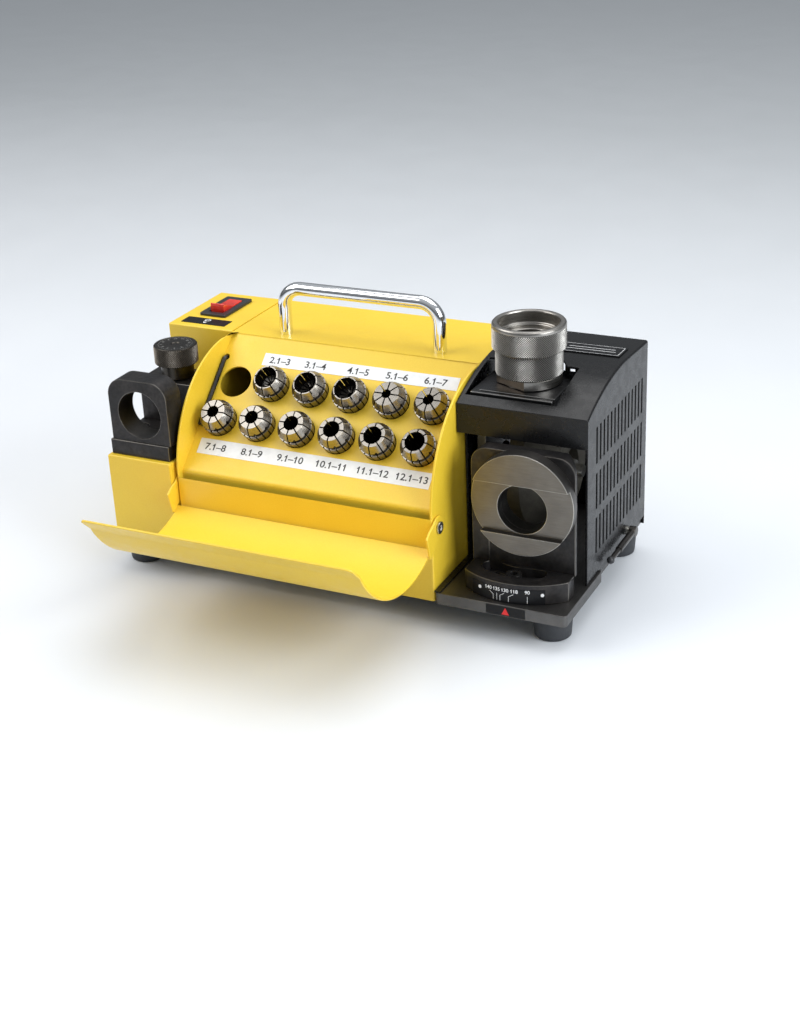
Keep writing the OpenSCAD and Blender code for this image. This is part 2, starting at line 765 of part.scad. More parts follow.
// Chuck
module chuck_body() {
    z = seat_z + 0.2;
    thread_r = 17;
    color([0.6, 0.59, 0.57]) place() translate([chuck[0], chuck[1], z]) difference() {
        union() {
            translate([0, 0, -17]) cylinder(r = nose_r, h = 18);
            linear_extrude(6) intersection() {
                circle(flange_r);
                rotate(66) square([2 * flat_half, 60], center = true);
            }
            translate([0, 0, 6]) cylinder(r = knurl_r, h = body_len - 6);
            translate([0, 0, body_len - 1]) cylinder(r = thread_r, h = 8);
        }
        translate([0, 0, -18]) cylinder(r = 7, h = 60);
        translate([0, 0, -18]) cylinder(r1 = 12.4, r2 = 9, h = 24);
        translate([0, 0, 14]) cylinder(r = 13.5, h = 30);
    }
}

body_len = 22;
module chuck_nut() {
    z = seat_z + 0.2 + body_len + gap;
    h = 16.8;
    inner = 17 + run;
    color([0.66, 0.65, 0.63]) place() translate([chuck[0], chuck[1], z]) rotate_extrude()
        polygon([[inner, 0], [nut_r - 1.2, 0], [nut_r, 1.2], [nut_r, h - 1.6], [nut_r - 1.5, h],
            [20, h], [19, h - 0.8], [19, 8.5], [inner, 7.5]]);
}

// Motor
module motor_bulkhead() {
    color([0.35, 0.35, 0.36]) place() difference() {
        union() {
            box(bulk_x, [54, 140], [plate_t, 95]);
            box([212, bulk_x[1]], [54, 140], [plate_t, plate_t + 5]);
        }
        rod_x([220, 240], axis_y, axis_z, 12);
    }
}

module motor_case() {
    color([0.25, 0.26, 0.28]) place() difference() {
        rod_x(motor_x, axis_y, axis_z, motor_r);
        rod_x([motor_x[0] - cut, motor_x[1] + cut], axis_y, axis_z, motor_r - 2.5);
    }
}

module motor_end_bells() {
    color("silver") place() {
        difference() {
            rod_x([motor_x[1], bulk_x[0]], axis_y, axis_z, motor_r);
            rod_x([motor_x[1] - cut, motor_x[1] + 7], axis_y, axis_z, 11);
            rod_x([motor_x[1], bulk_x[1]], axis_y, axis_z, 6);
        }
        difference() {
            rod_x([motor_x[0] - 9, motor_x[0]], axis_y, axis_z, motor_r);
            rod_x([motor_x[0] - 7, motor_x[0] + cut], axis_y, axis_z, 11);
            rod_x([motor_x[0] - 10, motor_x[0]], axis_y, axis_z, 6);
        }
    }
}

module motor_bearings() {
    color("silver") place() for (x = [motor_x[0] - 7, motor_x[1]]) difference() {
        rod_x([x, x + 7], axis_y, axis_z, 11);
        rod_x([x - cut, x + 8], axis_y, axis_z, shaft_r + run);
    }
}

module motor_magnets() {
    color([0.2, 0.2, 0.2]) place() difference() {
        rod_x([145, 207], axis_y, axis_z, motor_r - 2.5);
        rod_x([144, 208], axis_y, axis_z, 21);
        box([140, 210], [axis_y - 5, axis_y + 5], [0, 120]);
    }
}

module motor_rotor() {
    color("peru") place() difference() {
        union() {
            rod_x([150, 204], axis_y, axis_z, 20);
            rod_x([143, 150], axis_y, axis_z, 12);
        }
        for (a = [0 : 30 : 330]) translate([149, axis_y, axis_z]) rotate([a, 0, 0])
            translate([0, -0.8, 15]) cube([60, 1.6, 10]);
        rod_x([140, 210], axis_y, axis_z, shaft_r);
    }
}

module motor_shaft() {
    color("silver") place() rod_x([108, 300], axis_y, axis_z, shaft_r);
}

module cooling_fan() {
    color([0.1, 0.1, 0.11]) place() difference() {
        union() {
            rod_x([112, 123], axis_y, axis_z, 8);
            for (a = [0 : 40 : 320]) translate([112, axis_y, axis_z]) rotate([a, 0, 0])
                rotate([0, 0, 20]) translate([0.5, -0.7, 6]) cube([8, 1.4, 17]);
        }
        rod_x([100, 130], axis_y, axis_z, shaft_r);
    }
}

// Wheel: a cone whose side is set for the point angle, on a short rim.
module grinding_wheel() {
    slope = 1 / tan(point_angle / 2);
    rim = 9.5;
    cone = 20;
    color([0.5, 0.47, 0.4]) place() translate([wheel_x, axis_y, axis_z]) rotate([0, 90, 0])
        rotate_extrude() polygon([[shaft_r, -8], [10, -8], [10, 0], [wheel_r, 0], [wheel_r, rim],
            [wheel_r - cone * slope, rim + cone], [14, rim + cone], [14, rim + cone - 6],
            [shaft_r, rim + cone - 6]]);
}

module wheel_nut() {
    x = wheel_x + 23.5;
    color("silver") place() difference() {
        union() {
            rod_x([x, x + 2], axis_y, axis_z, 10);
            translate([x + 2, axis_y, axis_z]) rotate([0, 90, 0]) cylinder(r = 7.5, h = 6.5, $fn = 6);
        }
        rod_x([x - cut, x + 10], axis_y, axis_z, shaft_r);
    }
}

// Speed board with its capacitor, on the housing's floor side.
module speed_board() {
    color("darkgreen") place() {
        box([8, 10], [92, 150], [plate_t, 34]);
        rod_x([10, 34], 135, 22, 8);
        box([10, 16], [98, 120], [12, 30]);
    }
}

// Side lever: a slim rod with a ball at its front end, on a bush low on the chamber cover.
module clamp_lever() {
    y = lever_hub[0];
    z = lever_hub[1];
    neck_y = 91;
    ball_y = 75.5;
    color([0.3, 0.3, 0.3]) place() {
        difference() {
            union() {
                rod_y(lever_x, [neck_y, y], z, 2.3);
                rod_x([lever_x - 2.4, lever_x + 2.4], y, z, 3.4);
            }
            rod_x([lever_x - 4, lever_x + 0.8], y, z, 1.8 + run);
        }
        rod_y(lever_x, [ball_y, neck_y], z, 1.7);
        translate([lever_x, ball_y, z]) sphere(lever_ball_r);
    }
}

module lever_bush() {
    y = lever_hub[0];
    z = lever_hub[1];
    color("silver") place() {
        rod_x([body_w - sheet - 3, body_w + 1], y, z, lever_bush_r);
        rod_x([body_w + 1, lever_x + 0.6], y, z, 1.8);
    }
}

base_plate();
feet();
foot_screws();
switch_housing();
main_cover();
collet_rack();
tray_lid();
lid_pivot_screws();
carry_handle();
handle_nuts();
chamber_cover();
cover_screws();
switch_frame();
switch_rocker();
diameter_plate();
power_inlet();
inlet_screws();
gauge_base();
gauge_ring();
gauge_column();
gauge_screws();
gauge_knob();
gauge_cam();
swivel_block();
point_port();
swivel_pin();
swivel_clamp_screw();
angle_scale();
scale_rivets();
pointer_plate();
seat_bracket();
seat_screws();
chuck_body();
chuck_nut();
collet(3);  // collet_3
collet(4);  // collet_4
collet(5);  // collet_5
collet(6);  // collet_6
collet(7);  // collet_7
collet(8);  // collet_8
collet(9);  // collet_9
collet(10);  // collet_10
collet(11);  // collet_11
collet(12);  // collet_12
collet(13);  // collet_13
hex_key();
size_strips();
motor_bulkhead();
motor_case();
motor_end_bells();
motor_magnets();
motor_bearings();
motor_rotor();
motor_shaft();
cooling_fan();
grinding_wheel();
wheel_nut();
speed_board();
clamp_lever();
lever_bush();
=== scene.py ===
"""Bench drill bit sharpener: the looks of its painted sheet metal, ground steel and knurling."""
import json
import math

import bmesh
import bpy
from mathutils import Matrix, Vector


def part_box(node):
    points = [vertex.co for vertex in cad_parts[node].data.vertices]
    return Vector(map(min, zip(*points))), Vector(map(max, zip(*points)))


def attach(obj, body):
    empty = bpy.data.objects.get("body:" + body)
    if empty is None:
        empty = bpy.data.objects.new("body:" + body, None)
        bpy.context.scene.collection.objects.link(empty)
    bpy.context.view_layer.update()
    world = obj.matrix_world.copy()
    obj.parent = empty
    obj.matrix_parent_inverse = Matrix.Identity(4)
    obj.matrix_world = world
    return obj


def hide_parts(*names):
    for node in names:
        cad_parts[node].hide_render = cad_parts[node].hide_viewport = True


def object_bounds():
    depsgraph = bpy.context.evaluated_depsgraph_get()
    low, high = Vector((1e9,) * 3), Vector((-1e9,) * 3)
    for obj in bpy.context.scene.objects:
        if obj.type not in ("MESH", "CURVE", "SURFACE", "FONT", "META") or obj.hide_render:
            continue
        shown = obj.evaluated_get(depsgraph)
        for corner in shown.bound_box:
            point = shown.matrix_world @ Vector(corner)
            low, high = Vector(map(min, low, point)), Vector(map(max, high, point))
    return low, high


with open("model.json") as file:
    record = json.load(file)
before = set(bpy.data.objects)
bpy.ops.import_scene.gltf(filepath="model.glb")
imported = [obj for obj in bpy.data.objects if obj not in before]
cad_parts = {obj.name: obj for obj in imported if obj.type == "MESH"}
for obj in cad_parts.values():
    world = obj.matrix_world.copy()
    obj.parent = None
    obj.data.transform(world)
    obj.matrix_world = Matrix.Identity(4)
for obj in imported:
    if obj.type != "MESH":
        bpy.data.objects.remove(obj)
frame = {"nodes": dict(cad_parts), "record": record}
cad_low, cad_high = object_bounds()

# ---------------------------------------------------------------------------------------------
# The frame: places are given in the machine's own millimetres, from the switch housing's corner.
MM = 0.001
RECORD = frame["record"]
BODY_OF = {node: body for body, nodes in RECORD["behaviour"]["bodies"].items() for node in nodes}
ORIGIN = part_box("switch_housing")[0]


def at(x, y, z):
    """A point of the machine, in the row frame."""
    return ORIGIN + Vector((x, y, z)) * MM


def machine(point):
    """A point of the row frame, in the machine's millimetres."""
    return (point - ORIGIN) / MM


def span(node):
    """The lowest and highest corner of a CAD node, in the machine's millimetres."""
    low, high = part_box(node)
    return machine(low), machine(high)


def axes(origin, right, up):
    """A placement with its X along right, its Y along up and its Z out of the surface."""
    right = Vector(right).normalized()
    out = right.cross(Vector(up)).normalized()
    turn = Matrix((right, out.cross(right), out)).transposed().to_4x4()
    return Matrix.Translation(origin) @ turn


# ---------------------------------------------------------------------------------------------
# Materials
class Look:
    """One Principled material whose colour, roughness and relief vary over the surface."""

    def __init__(self, name, colour, roughness, metallic=0.0, **sockets):
        self.material = bpy.data.materials.new(name)
        self.material.use_nodes = True
        self.tree = self.material.node_tree
        self.shader = self.tree.nodes["Principled BSDF"]
        self.colour = (*colour, 1.0)
        self.shade = None
        self.normal = None
        self.shader.inputs["Base Color"].default_value = self.colour
        self.shader.inputs["Roughness"].default_value = roughness
        self.shader.inputs["Metallic"].default_value = metallic
        for socket, value in sockets.items():
            self.shader.inputs[socket.replace("_", " ")].default_value = value
        self.material.diffuse_color = self.colour
        self.place = self.node("ShaderNodeTexCoord").outputs["Object"]

    def node(self, kind, **values):
        made = self.tree.nodes.new(kind)
        for key, value in values.items():
            setattr(made, key, value)
        return made

    def link(self, source, target):
        self.tree.links.new(source, target)

    def noise(self, size, detail=2.0, stretch=(1, 1, 1), place=None, roughness=0.5):
        """Noise with features of about size millimetres, drawn out along an axis by stretch."""
        scale = self.node("ShaderNodeMapping")
        scale.inputs["Scale"].default_value = [1 / (size * MM * s) for s in stretch]
        self.link(place or self.place, scale.inputs["Vector"])
        made = self.node("ShaderNodeTexNoise")
        made.inputs["Scale"].default_value = 1.0
        made.inputs["Detail"].default_value = detail
        made.inputs["Roughness"].default_value = roughness
        self.link(scale.outputs["Vector"], made.inputs["Vector"])
        return made.outputs["Fac"]

    def split(self):
        """The local X, Y and Z."""
        parts = self.node("ShaderNodeSeparateXYZ")
        self.link(self.place, parts.inputs["Vector"])
        return parts.outputs

    def radius(self, parts):
        """The distance from local Z."""
        flat = self.node("ShaderNodeCombineXYZ")
        self.link(parts["X"], flat.inputs["X"])
        self.link(parts["Y"], flat.inputs["Y"])
        length = self.node("ShaderNodeVectorMath", operation="LENGTH")
        self.link(flat.outputs["Vector"], length.inputs[0])
        return length.outputs["Value"]

    def turned(self):
        """Coordinates that run out from local Z and along it, for lathe marks."""
        parts = self.split()
        made = self.node("ShaderNodeCombineXYZ")
        self.link(self.radius(parts), made.inputs["X"])
        self.link(parts["Z"], made.inputs["Y"])
        return made.outputs["Vector"]

    def ranged(self, source, low, high, first=0.35, last=0.65):
        """Spreads a source from low to high between its values first and last."""
        made = self.node("ShaderNodeMapRange")
        made.inputs["From Min"].default_value = first
        made.inputs["From Max"].default_value = last
        made.inputs["To Min"].default_value = low
        made.inputs["To Max"].default_value = high
        self.link(source, made.inputs["Value"])
        return made.outputs["Result"]

    def tint(self, source, colour, low=0.0, high=1.0, first=0.35, last=0.65):
        """Mixes colour in by the source, over what is there."""
        mix = self.node("ShaderNodeMix", data_type="RGBA")
        self.link(self.ranged(source, low, high, first, last), mix.inputs["Factor"])
        mix.inputs["A"].default_value = self.colour
        if self.shade is not None:
            self.link(self.shade, mix.inputs["A"])
        mix.inputs["B"].default_value = (*colour, 1.0)
        self.shade = mix.outputs["Result"]
        self.link(self.shade, self.shader.inputs["Base Color"])
        return self

    def polish(self, source, low, high, first=0.35, last=0.65):
        """Lets the roughness run from low to high."""
        self.link(self.ranged(source, low, high, first, last), self.shader.inputs["Roughness"])
        return self

    def relief(self, source, depth):
        """Raises the surface by the noise, depth in millimetres."""
        bump = self.node("ShaderNodeBump")
        bump.inputs["Distance"].default_value = depth * MM
        bump.inputs["Strength"].default_value = 1.0
        self.link(source, bump.inputs["Height"])
        if self.normal is not None:
            self.link(self.normal, bump.inputs["Normal"])
        self.normal = bump.outputs["Normal"]
        self.link(self.normal, self.shader.inputs["Normal"])
        return self


def powder_coat(name, colour, darker, lighter, roughness, depth, **sockets):
    """Baked powder paint: a fine even grain with slow changes of tone."""
    look = Look(name, colour, roughness, **sockets)
    look.tint(look.noise(38, 2), darker, 0.0, 0.35)
    look.tint(look.noise(0.9, 2), lighter, 0.0, 0.25)
    look.polish(look.noise(6, 3), roughness - 0.05, roughness + 0.06)
    look.relief(look.noise(1.15, 3, roughness=0.6), depth)
    return look


def machined(name, colour, other, roughness, stretch, depth=0.004, line=0.16):
    """Milled or ground steel: fine lines along one axis and patches of another tone."""
    look = Look(name, colour, roughness, metallic=1.0)
    look.tint(look.noise(14, 3), other, 0.0, 0.6)
    look.tint(look.noise(line, 2, stretch), [c * 0.7 for c in other], 0.0, 0.35)
    look.polish(look.noise(line, 2, stretch), roughness - 0.07, roughness + 0.1)
    look.relief(look.noise(line, 2, stretch), depth)
    return look


def lathe_turned(name, colour, other, roughness, line=0.22, depth=0.003):
    """Turned steel: rings about the piece's own axis."""
    look = Look(name, colour, roughness, metallic=1.0)
    rings = look.noise(line, 3, (1, 1, 1), look.turned())
    look.tint(look.noise(9, 3), other, 0.0, 0.55)
    look.tint(rings, [c * 0.62 for c in other], 0.0, 0.4)
    look.polish(rings, roughness - 0.06, roughness + 0.1)
    look.relief(rings, depth)
    return look


def knurled(name, colour, groove, roughness, outer, depth):
    """Knurled steel: its grooves are painted dark as shade, and its diamonds' tops keep the steel's
    colour.
    """
    look = Look(name, colour, roughness, metallic=1.0)
    look.tint(look.noise(7, 3), [c * 0.75 for c in colour], 0.0, 0.6)
    bottom, top = (outer - depth) * MM, (outer - 0.2 * depth) * MM
    # painted shade: the colour darkens from the diamonds' tops down into the grooves
    look.tint(look.radius(look.split()), groove, 1.0, 0.0, bottom, top)
    look.polish(look.noise(3, 3), roughness - 0.05, roughness + 0.1)
    return look


def oxide(name, colour, roughness=0.36):
    """Black-oxide steel: dark and oily, a little brown where it is rubbed."""
    look = Look(name, colour, roughness, metallic=0.75)
    look.tint(look.noise(17, 4), [c * v for c, v in zip(colour, (2.1, 1.9, 1.7))], 0.0, 0.6)
    look.tint(look.noise(2.2, 4), [c * 0.55 for c in colour], 0.0, 0.45)
    look.polish(look.noise(5, 4), roughness - 0.08, roughness + 0.14)
    look.relief(look.noise(0.5, 2, (1, 1, 7)), 0.004)
    return look


def moulded(name, colour, roughness, grain=0.55, depth=0.006):
    """Moulded plastic or rubber with a fine spark-eroded grain."""
    look = Look(name, colour, roughness)
    look.tint(look.noise(11, 3), [c * 1.35 + 0.004 for c in colour], 0.0, 0.6)
    look.polish(look.noise(3, 3), roughness - 0.06, roughness + 0.08)
    look.relief(look.noise(grain, 2), depth)
    return look


def printed(name, colour, roughness=0.45, **sockets):
    """Ink or label film: nearly even, with a faint mottle."""
    look = Look(name, colour, roughness, **sockets)
    look.tint(look.noise(4, 3), [c * 0.86 for c in colour], 0.0, 0.5)
    look.polish(look.noise(2, 2), roughness - 0.06, roughness + 0.06)
    return look


# the knurled radii of the chuck's nut, its body and the gauge's knob, and how deep each is cut
NUT_R, GRIP_R, KNOB_R = 23.3, 21.2, 14.7
NUT_DEPTH = 0.5
KNOB_DEPTH = 0.45
yellow_paint = powder_coat("yellow_powder_coat", (0.83, 0.56, 0.035), (0.78, 0.51, 0.025),
                           (0.92, 0.68, 0.07), 0.4, 0.014, Coat_Weight=0.15, Coat_Roughness=0.22)
black_paint = powder_coat("black_powder_coat", (0.006, 0.006, 0.0065), (0.004, 0.004, 0.0045),
                          (0.013, 0.013, 0.0135), 0.27, 0.014, Specular_IOR_Level=0.32)
oxide_steel = oxide("oxide_steel", (0.034, 0.033, 0.034))
# the lighter chamfers stand for edge wear and are partly a painted highlight
edge_wear_and_highlight = machined("edge_wear_and_highlight", (0.17, 0.16, 0.145), (0.09, 0.084, 0.078), 0.34, (1, 1, 1))
oxide_turned = lathe_turned("oxide_turned", (0.08, 0.073, 0.064), (0.045, 0.041, 0.037), 0.32)
knob_knurl = knurled("knob_knurl", (0.3, 0.265, 0.225), (0.012, 0.011, 0.01), 0.34, KNOB_R, KNOB_DEPTH)
port_steel = machined("port_steel", (0.2, 0.185, 0.165), (0.15, 0.138, 0.122), 0.36, (60, 1, 1), 0.003)
# the port's bright chamfers: partly wear, partly a painted highlight
port_edge_wear_and_highlight = machined("port_edge_wear_and_highlight", (0.5, 0.48, 0.44), (0.38, 0.36, 0.33), 0.28, (1, 1, 1))
port_rim = lathe_turned("port_rim", (0.17, 0.16, 0.15), (0.11, 0.105, 0.1), 0.34)
dark_bore = lathe_turned("dark_bore", (0.12, 0.115, 0.108), (0.07, 0.067, 0.063), 0.36)
base_steel = machined("base_steel", (0.16, 0.155, 0.15), (0.1, 0.097, 0.094), 0.4, (1, 50, 1))
seat_steel = machined("seat_steel", (0.1, 0.1, 0.103), (0.06, 0.06, 0.062), 0.33, (60, 1, 1))
# painted highlight: the seat's chamfers are a lighter grey than its plate
seat_edge_highlight = machined("seat_edge_highlight", (0.26, 0.255, 0.25), (0.15, 0.147, 0.145), 0.3, (1, 1, 1))
nickel = lathe_turned("matt_nickel", (0.42, 0.4, 0.37), (0.3, 0.285, 0.265), 0.3)
nickel_knurl = knurled("nickel_knurl", (0.62, 0.6, 0.565), (0.06, 0.058, 0.054), 0.34, NUT_R, NUT_DEPTH)
body_knurl = knurled("body_knurl", (0.46, 0.445, 0.42), (0.025, 0.024, 0.023), 0.34, GRIP_R, NUT_DEPTH)
flat_steel = machined("flat_steel", (0.3, 0.25, 0.2), (0.2, 0.165, 0.13), 0.34, (1, 1, 40))
collet_steel = lathe_turned("collet_steel", (0.37, 0.345, 0.31), (0.25, 0.23, 0.205), 0.28, 0.3)
# painted shade: the collets' ring groove, bore and slits are coloured near black
collet_groove_shade = lathe_turned("collet_groove_shade", (0.02, 0.024, 0.04), (0.012, 0.013, 0.02), 0.3)
collet_bore_shade = lathe_turned("collet_bore_shade", (0.03, 0.028, 0.026), (0.015, 0.014, 0.013), 0.4)
zinc = machined("zinc_plate", (0.62, 0.61, 0.57), (0.5, 0.48, 0.43), 0.3, (1, 1, 1), 0.002)
dark_rod = machined("dark_rod", (0.14, 0.13, 0.12), (0.08, 0.075, 0.07), 0.3, (1, 1, 1), 0.002)
black_screw = oxide("black_screw", (0.035, 0.035, 0.036), 0.3)
rubber = moulded("rubber", (0.028, 0.03, 0.034), 0.6, 0.7, 0.01)
black_plastic = moulded("black_plastic", (0.02, 0.02, 0.022), 0.42)
red_plastic = Look("red_rocker", (0.72, 0.035, 0.02), 0.22, Subsurface_Weight=0.15,
                   Subsurface_Radius=(0.004, 0.0008, 0.0006), Coat_Weight=0.3)
red_plastic.tint(red_plastic.noise(5, 2), (0.86, 0.07, 0.045), 0.0, 0.5)
red_plastic.polish(red_plastic.noise(2, 2), 0.17, 0.26)
black_ink = printed("black_ink", (0.02, 0.02, 0.022))
white_ink = printed("white_ink", (0.86, 0.86, 0.86))
grey_ink = printed("grey_ink", (0.3, 0.295, 0.28))
red_ink = printed("red_ink", (0.8, 0.02, 0.02))
label_white = printed("white_label", (0.86, 0.87, 0.88), 0.42)
label_black = printed("black_label", (0.006, 0.006, 0.007), 0.36, Specular_IOR_Level=0.25)
chrome = Look("chrome_plate", (0.88, 0.89, 0.9), 0.05, metallic=1.0)
chrome.tint(chrome.noise(20, 2), (0.82, 0.83, 0.85), 0.0, 0.5)
chrome.polish(chrome.noise(3, 4), 0.03, 0.075)


def inner(name, colour, roughness, metallic):
    """A material for what sits inside the covers."""
    look = Look(name, colour, roughness, metallic)
    look.tint(look.noise(8, 3), [c * 0.6 for c in colour], 0.0, 0.6)
    look.polish(look.noise(2, 3), roughness - 0.08, roughness + 0.1)
    look.relief(look.noise(0.6, 3), 0.006)
    return look


motor_enamel = inner("motor_enamel", (0.07, 0.075, 0.08), 0.4, 0.0)
cast_alloy = inner("cast_alloy", (0.5, 0.5, 0.51), 0.42, 1.0)
ferrite = inner("ferrite", (0.04, 0.04, 0.042), 0.55, 0.0)
windings = machined("windings", (0.5, 0.22, 0.09), (0.34, 0.14, 0.06), 0.34, (1, 1, 30), 0.02, 0.5)
# the wheel's colour is kept dark as painted shade for the inside of the closed chamber, seen through
# the bore
grit = Look("wheel_grit", (0.14, 0.128, 0.105), 0.62, metallic=0.35)
grit.tint(grit.noise(0.35, 3), (0.06, 0.055, 0.045), 0.0, 0.8)
grit.tint(grit.noise(9, 2), (0.2, 0.185, 0.15), 0.0, 0.4)
grit.relief(grit.noise(0.3, 3), 0.06)
board = inner("circuit_board", (0.02, 0.12, 0.045), 0.35, 0.0)


# ---------------------------------------------------------------------------------------------
# Mesh helpers
# in degrees: faces closer than this are one flat face, and folds and edges turn by at least these
FLAT_ANGLE, FOLD_ANGLE, EDGE_ANGLE = 0.7, 10, 35
FOLD_STEPS = 4
# in metres: vertices closer than this are one
SAME_POINT = 2e-6


def bevel(bm, edges, radius, steps, look=-1):
    if edges:
        bmesh.ops.bevel(bm, geom=edges, offset=radius * MM, offset_type="OFFSET", segments=steps,
                        profile=0.5, affect="EDGES", clamp_overlap=False, material=look)


def sharp_edges(bm, angle, test):
    """Convex edges sharper than angle whose two ends, in the machine's millimetres, pass test."""
    limit = math.radians(angle)
    found = []
    for edge in bm.edges:
        if len(edge.link_faces) != 2 or not edge.is_convex or edge.calc_face_angle(0) < limit:
            continue
        if test(*(machine(v.co) for v in edge.verts)):
            found.append(edge)
    return found


def settle(bm, name, looks, nodes=(), body=None, place=None, sharp=30, flat=False):
    """Makes a piece of the mesh, which stands for the CAD nodes and rides on their body. Edges
    past sharp degrees stay hard, and flat leaves every face flat."""
    mesh = bpy.data.meshes.new(name)
    bmesh.ops.recalc_face_normals(bm, faces=bm.faces)
    if place is not None:
        bm.transform(place.inverted())
    bm.to_mesh(mesh)
    bm.free()
    for look in looks:
        mesh.materials.append(look.material)
    piece = bpy.data.objects.new(name, mesh)
    bpy.context.scene.collection.objects.link(piece)
    if not flat:
        mesh.shade_smooth()
        mesh.set_sharp_from_angle(angle=math.radians(sharp))
        normals = piece.modifiers.new("Normals", "WEIGHTED_NORMAL")
        normals.keep_sharp = True
    if place is not None:
        piece.matrix_world = place
    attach(piece, body or BODY_OF[nodes[0]])
    if nodes:
        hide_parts(*nodes)
    return piece


def steady(bm):
    """Puts the faces in one order, since the bevels leave them in a new one at each run."""
    bm.verts.index_update()
    count = len(bm.verts)

    def key(face):
        first, second, *_, last = sorted(v.index for v in face.verts)
        return (first * count + second) * count + last

    bm.faces.sort(key=key)


def everywhere(a, b):
    return True


def refined(node, looks, radius, steps=2, folds=(), skip=None, edge_look=-1, place=None, faces=None):
    """The CAD node's own shape with its edges rounded. folds are (test, radius) pairs that are
    rounded first, skip leaves edges sharp, and faces(centre, normal) chooses a face's look."""
    bm = bmesh.new()
    bm.from_mesh(frame["nodes"][node].data)
    bmesh.ops.remove_doubles(bm, verts=bm.verts, dist=SAME_POINT)
    bmesh.ops.dissolve_limit(bm, angle_limit=math.radians(FLAT_ANGLE), verts=bm.verts, edges=bm.edges)
    for face in bm.faces:
        face.material_index = faces(machine(face.calc_center_median()), face.normal) if faces else 0
    for test, fold in folds:
        bevel(bm, sharp_edges(bm, FOLD_ANGLE, test), fold, FOLD_STEPS)
    if radius:
        wanted = everywhere if skip is None else lambda a, b: not skip(a, b)
        bevel(bm, sharp_edges(bm, EDGE_ANGLE, wanted), radius, steps, edge_look)
    steady(bm)
    return settle(bm, node + "_shape", looks, [node], place=place)


def near(a, b, value, axis, tolerance=0.03):
    return abs(a[axis] - value) < tolerance and abs(b[axis] - value) < tolerance


def on_two(planes):
    """A test for edges that lie in two of the planes, given as (axis, value)."""
    def test(a, b):
        return sum(near(a, b, value, axis) for axis, value in planes) >= 2
    return test


def lathe(bm, profile, sides, place):
    """Turns a closed profile of (radius, height) in millimetres about the placement's Z."""
    rings = []
    for radius, height in profile:
        if radius < 1e-6:
            rings.append([bm.verts.new(place @ Vector((0, 0, height * MM)))])
            continue
        ring = []
        for i in range(sides):
            a = 2 * math.pi * i / sides
            point = Vector((radius * math.cos(a), radius * math.sin(a), height))
            ring.append(bm.verts.new(place @ (point * MM)))
        rings.append(ring)
    for low, high in zip(rings, rings[1:] + rings[:1]):
        for i in range(sides):
            j = (i + 1) % sides
            if len(low) == 1 and len(high) == 1:
                continue
            if len(low) == 1:
                corner = (low[0], high[j], high[i])
            elif len(high) == 1:
                corner = (low[i], low[j], high[0])
            else:
                corner = (low[i], low[j], high[j], high[i])
            bm.faces.new(corner)


def knurl(bm, radius, low, high, around, depth, place, look):
    """A closed band of diamond knurling between two heights, with a pyramid on each diamond."""
    pitch = 2 * math.pi * radius / around
    rows = max(2, round((high - low) / pitch)) * 2
    around *= 2
    rings = []
    for j in range(rows + 1):
        ring = []
        for i in range(around):
            peak = (i + j) % 2 == 1 and 0 < j < rows
            r = radius if peak else radius - depth
            a = 2 * math.pi * i / around
            z = low + (high - low) * j / rows
            ring.append(bm.verts.new(place @ (Vector((r * math.cos(a), r * math.sin(a), z)) * MM)))
        rings.append(ring)
    for j in range(rows):
        for i in range(around):
            k = (i + 1) % around
            a, b, c, d = rings[j][i], rings[j][k], rings[j + 1][k], rings[j + 1][i]
            # the split runs along the groove, so that each pyramid keeps its four faces
            split = ((a, b, d), (b, c, d)) if (i + j) % 2 == 1 else ((a, b, c), (a, c, d))
            for corners in split:
                bm.faces.new(corners).material_index = look


def tube(bm, path, radius, sides, across, turn=0.0):
    """Sweeps a round or many-sided rod along a path of points in one plane, whose normal is
    across, and closes both ends."""
    across = Vector(across).normalized()
    rings = []
    for k, point in enumerate(path):
        ahead = (path[min(k + 1, len(path) - 1)] - path[max(k - 1, 0)]).normalized()
        side = across.cross(ahead).normalized()
        ring = []
        for i in range(sides):
            a = 2 * math.pi * i / sides + turn
            ring.append(bm.verts.new(point + (across * math.cos(a) + side * math.sin(a)) * radius * MM))
        rings.append(ring)
    for low, high in zip(rings, rings[1:]):
        for i in range(sides):
            j = (i + 1) % sides
            bm.faces.new((low[i], low[j], high[j], high[i]))
    bm.faces.new(rings[0])
    bm.faces.new(rings[-1])


def slab(bm, x, y, thick, place, look=0):
    """A thin plate on the placement's surface, from x[0] to x[1] and y[0] to y[1]."""
    made = bmesh.ops.create_cube(bm, size=1.0)["verts"]
    for v in made:
        v.co = place @ (Vector(((x[0] + x[1]) / 2 + v.co.x * (x[1] - x[0]),
                                (y[0] + y[1]) / 2 + v.co.y * (y[1] - y[0]),
                                (v.co.z + 0.5) * thick)) * MM)
    for face in {f for v in made for f in v.link_faces}:
        face.material_index = look


def stroke(bm, points, width, thick, place, look=0):
    """Thin printed lines between points on the placement's surface."""
    for p, q in zip(points, points[1:]):
        p, q = Vector((*p, 0)), Vector((*q, 0))
        along = (q - p).normalized()
        turn = Matrix.Rotation(math.atan2(along.y, along.x), 4, "Z")
        here = place @ Matrix.Translation(p * MM) @ turn
        slab(bm, (-width / 2, (q - p).length + width / 2), (-width / 2, width / 2), thick, here, look)


# how thick print is, in millimetres
INK = 0.05


